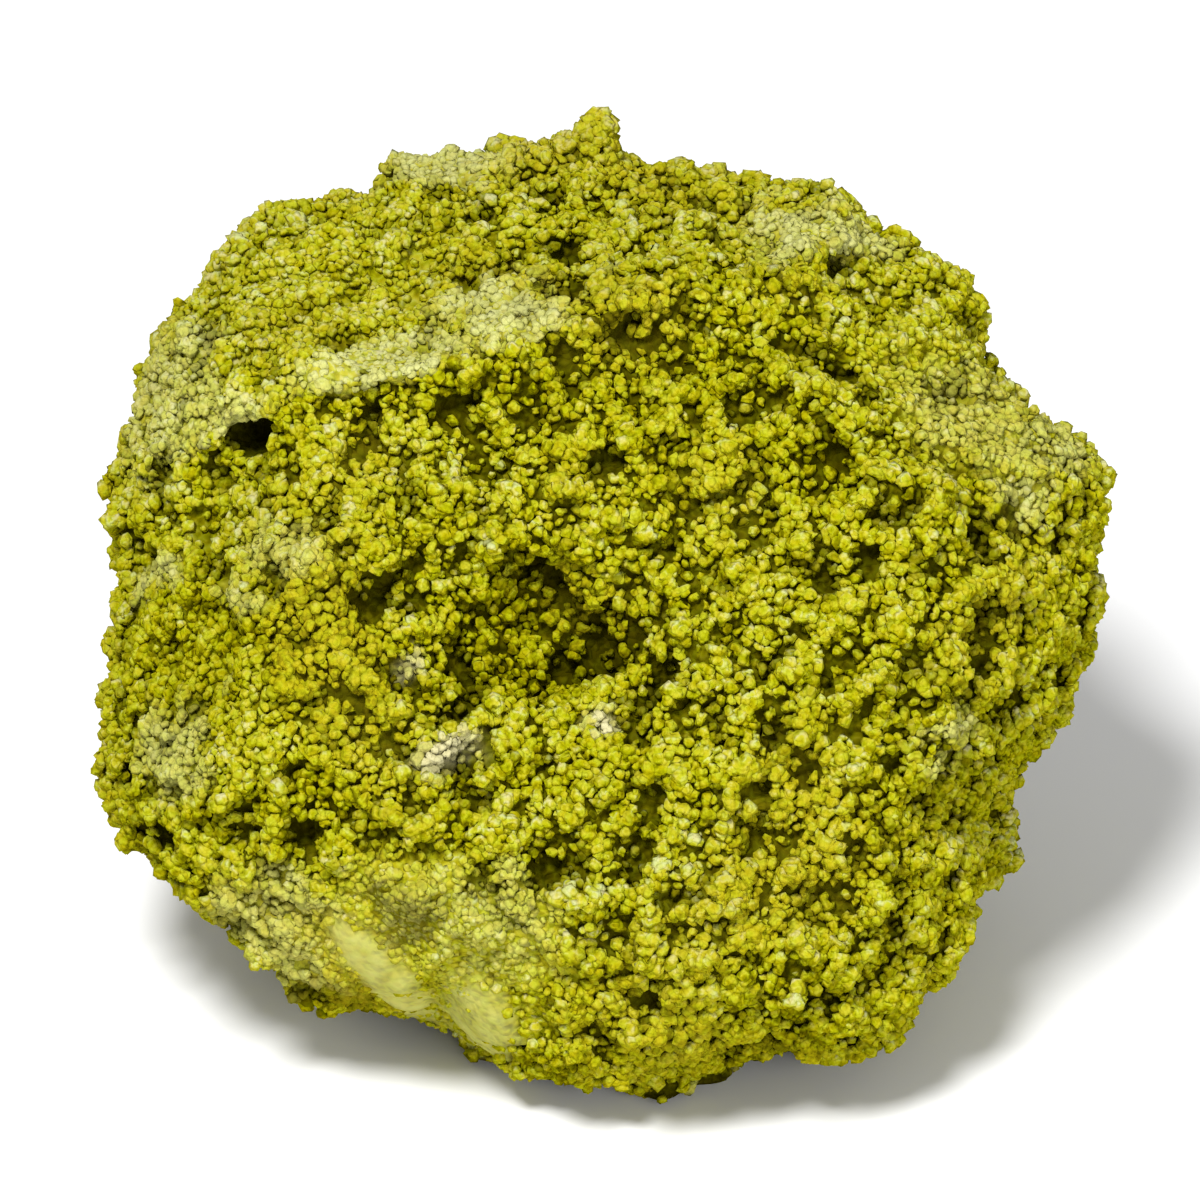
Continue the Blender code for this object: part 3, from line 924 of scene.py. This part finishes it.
def make_clay_group():
    """Colour, roughness and bump of the clay, from its tone and what lies on it."""
    group = group_with(
        "granular clay",
        "ShaderNodeTree",
        (
            ("Tone", "NodeSocketFloat", 0.5),
            ("Pore", "NodeSocketFloat", 0.0),
            ("Dust", "NodeSocketFloat", 0.0),
            ("Chalk", "NodeSocketFloat", 0.0),
            ("Bump", "NodeSocketFloat", 0.5),
            ("Knob Scale", "NodeSocketFloat", 2000.0),
            ("Knob Height", "NodeSocketFloat", 0.0001),
            ("Knob Tone", "NodeSocketFloat", 0.3),
        ),
        (
            ("Color", "NodeSocketColor", None),
            ("Roughness", "NodeSocketFloat", None),
            ("Normal", "NodeSocketVector", None),
        ),
    )
    t = Tree(group)
    given = t.node("NodeGroupInput").outputs
    where = t.node("ShaderNodeTexCoord").outputs["Object"]

    def noise(scale, detail):
        inputs = {"Vector": where, "Scale": scale, "Detail": detail}
        return t.node("ShaderNodeTexNoise", inputs=inputs).outputs

    def ranged(value, before, after=(0.0, 1.0), way="LINEAR"):
        inputs = dict(enumerate((value, *before, *after)))
        return t.node("ShaderNodeMapRange", interpolation_type=way, inputs=inputs).outputs[0]

    broad = noise(BROAD_SCALE, 0.0)[0]
    fleck = noise(FLECK_SCALE, 1.0)[0]
    curl = noise(CURL_SCALE, 0.0)
    off_rim = t.math("ABSOLUTE", t.math("SUBTRACT", curl[0], 0.5))
    rim = ranged(off_rim, (0.0, RIM_WIDTH), (1.0, 0.0), "SMOOTHSTEP")
    knobs = t.node(
        "ShaderNodeTexVoronoi",
        voronoi_dimensions="3D",
        feature="F1",
        inputs={"Vector": where, "Scale": given["Knob Scale"]},
    )
    dome = t.math("POWER", knobs.outputs["Distance"], KNOB_POWER)
    knob = t.math("SUBTRACT", KNOB_MIDDLE, dome)
    curls = t.math("MULTIPLY", rim, RIM_HEIGHT)
    relief = t.math("ADD", curls, t.math("MULTIPLY", knob, given["Knob Height"]))

    tone = t.math("ADD", given["Tone"], t.times_plus(fleck, *FLECK_TONE))
    tone = t.math("ADD", tone, t.times_plus(rim, *RIM_TONE))
    # Paler on the knobs' middles and darker at their edges: painted shade between the knobs.
    tone = t.math("ADD", tone, t.math("MULTIPLY", knob, given["Knob Tone"]))
    # Paler on faces that look up: painted light from above.
    normal = t.node("ShaderNodeNewGeometry").outputs["Normal"]
    upward = t.node("ShaderNodeSeparateXYZ", inputs={0: normal}).outputs["Z"]
    tone = t.math("ADD", tone, t.times_plus(upward, *UPWARD_TONE))
    ramp = t.node("ShaderNodeValToRGB", inputs={0: tone})
    steps = ramp.color_ramp.elements
    for step, (position, colour) in zip(steps, (TONES[0], TONES[-1])):
        step.position = position
        step.color = colour
    for position, colour in TONES[1:-1]:
        steps.new(position).color = colour

    warm = ranged(broad, OCHRE_BAND, (0.0, OCHRE_SHARE))
    colour = t.mixed(warm, ramp.outputs[0], OCHRE)
    spread = t.node("ShaderNodeSeparateColor", inputs={0: curl["Color"]})
    cast = t.mixed(ranged(spread.outputs["Blue"], HUE_BAND), GREENER, YELLOWER)
    colour = t.mixed(1.0, colour, cast, "MULTIPLY")
    fray = t.math("MULTIPLY", t.times_plus(fleck, *DUST_FRAY), given["Dust"])
    dusted = t.math("ADD", given["Dust"], fray, True)
    colour = t.mixed(dusted, colour, DUST)
    colour = t.mixed(given["Chalk"], colour, CHALK)
    # Near black in the crevices and low gaps: painted shade.
    colour = t.mixed(given["Pore"], colour, PORE_SHADE)
    rough = ranged(fleck, (0.0, 1.0), ROUGHNESS)
    inputs = {"Strength": 1.0, "Distance": given["Bump"], "Height": relief}
    bump = t.node("ShaderNodeBump", inputs=inputs)
    t.node("NodeGroupOutput", inputs={"Color": colour, "Roughness": rough, "Normal": bump})
    return group


def clay_material(name, clay_group, tone_of, knobs):
    """A clay finish with these knobs on it. tone_of gives its tone, pore, dust and bump."""
    material = bpy.data.materials.new(name)
    material.use_nodes = True
    t = Tree(material.node_tree)
    shader = material.node_tree.nodes["Principled BSDF"]

    def read(attribute):
        return t.node("ShaderNodeAttribute", attribute_name=attribute).outputs["Fac"]

    tone, pore, dust, bump = tone_of(t, read)
    inputs = {"Tone": tone, "Pore": pore, "Dust": dust, "Chalk": read("chalk"), "Bump": bump}
    clay = t.node("ShaderNodeGroup", node_tree=clay_group, inputs={**inputs, **knobs})
    t.feed(shader.inputs["Base Color"], clay.outputs["Color"])
    t.feed(shader.inputs["Roughness"], clay.outputs["Roughness"])
    t.feed(shader.inputs["Normal"], clay.outputs["Normal"])
    shader.inputs["Specular IOR Level"].default_value = 0.0
    return material


def mass_tone(t, read):
    """The mass is dark low between the crumbs, painted shade, and pale where it is flat or worn."""
    bare = t.math("MAXIMUM", read("flat"), read("smear"))
    tone = t.times_plus(t.math("MULTIPLY", bare, BARE_SPREAD, True), *MASS_BARE_TONE)
    # Paler on the heads of the clumps and darker in their creases: painted light and shade.
    tone = t.math("ADD", tone, t.math("MULTIPLY", read("crown"), MASS_CROWN_TONE))
    # Painted light and shade from the listed patches.
    tone = t.math("ADD", tone, t.math("MULTIPLY", read("tint"), LIGHT_AND_SHADE_TONE))
    # Darker the nearer it lies to the mass below: painted shade in the gaps between the crumbs.
    low = t.math("SUBTRACT", LOW_DARK, t.math("MULTIPLY", read("tip"), TIP_LIFTS_DARK), True)
    low = t.math("SUBTRACT", low, t.math("MULTIPLY", bare, BARE_LIFTS_DARK), True)
    pore = t.math("MAXIMUM", t.math("MULTIPLY", read("pore"), MASS_PORE_SHADE), low)
    reached = t.times_plus(read("tip"), *MASS_DUST_REACH, True)
    dusted = t.math("MULTIPLY", t.math("MULTIPLY", read("dust"), MASS_DUST), reached)
    dust = t.math("MAXIMUM", dusted, t.math("MULTIPLY", read("flat"), FLAT_DUST))
    return tone, pore, dust, t.less(read("flat"), FLAT_CALM)


def crumb_tone(t, read):
    """A crumb is darkest where it is sunk in the mass, painted shade, and palest on its upper
    lobes, painted light.
    """
    loose = t.less(read("smear"), SMEARED["crumb tone"])
    tip = t.math("MULTIPLY", t.math("MULTIPLY", read("tip"), CRUMB_TIP_TONE), loose)
    tone = t.math("ADD", tip, t.math("MULTIPLY", read("smear"), CRUMB_SMEAR_TONE))
    # Paler on the heads of the clumps and darker in their creases: painted light and shade.
    tone = t.math("ADD", tone, t.times_plus(read("crown"), *CRUMB_CROWN_TONE))
    # Painted light and shade from the listed patches.
    tone = t.math("ADD", tone, t.math("MULTIPLY", read("tint"), LIGHT_AND_SHADE_TONE))
    tone = t.math("ADD", tone, t.times_plus(read("shade"), *CRUMB_SHADE_TONE))
    # Painted shade in the crevices.
    pore = t.math("MULTIPLY", read("pore"), CRUMB_PORE_SHADE)
    dust = t.math("MULTIPLY", read("dust"), t.times_plus(read("tip"), *CRUMB_DUST_REACH))
    return tone, pore, dust, t.less(read("smear"), SMEARED["crumb bump"])


def add_bake_map(mesh):
    """A map of its own for the piece: each face is laid flat on the side of a box that it faces."""
    points = mesh_points(mesh)
    normals = np.empty(len(mesh.polygons) * 3, np.float32)
    mesh.polygon_normals.foreach_get("vector", normals)
    normals = normals.reshape(-1, 3)
    axis = np.abs(normals).argmax(axis=1)
    ahead = np.take_along_axis(normals, axis[:, None], axis=1)[:, 0] > 0
    corners = np.empty(len(mesh.loops), np.int32)
    mesh.loops.foreach_get("vertex_index", corners)
    counts = np.empty(len(mesh.polygons), np.int32)
    mesh.polygons.foreach_get("loop_total", counts)
    axis = np.repeat(axis, counts)
    ahead = np.repeat(ahead, counts)
    low = points.min(axis=0)
    inside = (points - low) / (points.max(axis=0) - low)
    inside = MAP_MARGIN + (1 - 2 * MAP_MARGIN) * inside
    across = np.where(axis == 0, inside[corners, 1], inside[corners, 0])
    along = np.where(axis == 2, inside[corners, 1], inside[corners, 2])
    places = np.stack([axis + across, ahead + along], axis=1) / (3, 2)
    layer = mesh.uv_layers.new(name="OFBake")
    layer.uv.foreach_set("vector", places.astype(np.float32).ravel())


def make_camera():
    data = bpy.data.cameras.new("camera")
    data.lens = data.sensor_width * CAMERA_DISTANCE / FRAME_WIDTH
    camera = link(bpy.data.objects.new("camera", data))
    turn = Matrix([RIGHT, UP, TOWARDS]).transposed().to_4x4()
    middle = MIDDLE_POINT - TOWARDS * (MIDDLE_POINT @ TOWARDS)
    turn.translation = Vector(middle + TOWARDS * CAMERA_DISTANCE)
    camera.matrix_world = turn
    bpy.context.scene.camera = camera


def make_light(name, place, width, power):
    data = bpy.data.lights.new(name, "AREA")
    data.shape = "DISK"
    data.size = width
    data.energy = power
    light = link(bpy.data.objects.new(name, data))
    light.location = place
    ahead = Vector(LIGHT_AIM) - Vector(place)
    light.rotation_euler = ahead.to_track_quat("-Z", "Y").to_euler()


def make_studio():
    scene = bpy.context.scene
    scene.view_settings.view_transform = "Standard"
    world = bpy.data.worlds.new("studio")
    world.use_nodes = True
    sky = world.node_tree.nodes["Background"]
    sky.inputs["Color"].default_value = WHITE
    sky.inputs["Strength"].default_value = SKY
    scene.world = world
    bm = bmesh.new()
    bmesh.ops.create_circle(bm, cap_ends=True, segments=64, radius=FLOOR_RADIUS)
    mesh = bpy.data.meshes.new("floor")
    bm.to_mesh(mesh)
    bm.free()
    floor = link(bpy.data.objects.new("floor", mesh))
    paper = bpy.data.materials.new("white paper")
    paper.use_nodes = True
    shader = paper.node_tree.nodes["Principled BSDF"]
    shader.inputs["Base Color"].default_value = PAPER
    shader.inputs["Roughness"].default_value = PAPER_ROUGHNESS
    mesh.materials.append(paper)
    for name, (place, width, power) in LIGHTS.items():
        make_light(name, place, width, power)


def main():
    make_camera()
    make_studio()
    clay_group = make_clay_group()
    crumb_clay = clay_material("clay crumbs", clay_group, crumb_tone, CRUMB_KNOBS)
    mass_clay = clay_material("clay mass", clay_group, mass_tone, MASS_KNOBS)
    bed = make_bed()
    mark_patches(bed.data)
    group = make_crumb_nodes()
    kinds = make_crumb_kinds()
    pieces = []
    for number, name in enumerate(PATCHES):
        pieces.append(make_crumbs(bed, group, kinds, name, number, crumb_clay))
    clear_crumb_kinds(kinds)
    sink_into_mass(bed)
    meshes = [piece.data for piece in pieces] + [bed.data]
    grains = link(bpy.data.objects.new("grains", joined("grains", meshes)))
    bed.name = "bed"
    pieces.append(make_skin(grains, bed, mass_clay))
    skin = pieces[-1].data
    skin_tree = BVHTree.FromPolygons(mesh_points(skin).tolist(), triangles_of(skin).tolist())
    for piece in pieces[:-1]:
        settle(piece.data, skin_tree)
    for helper in (grains, bed):
        bpy.data.objects.remove(helper)
    for piece in pieces:
        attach(piece, "root")
        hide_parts(NODE)
        add_bake_map(piece.data)


main()
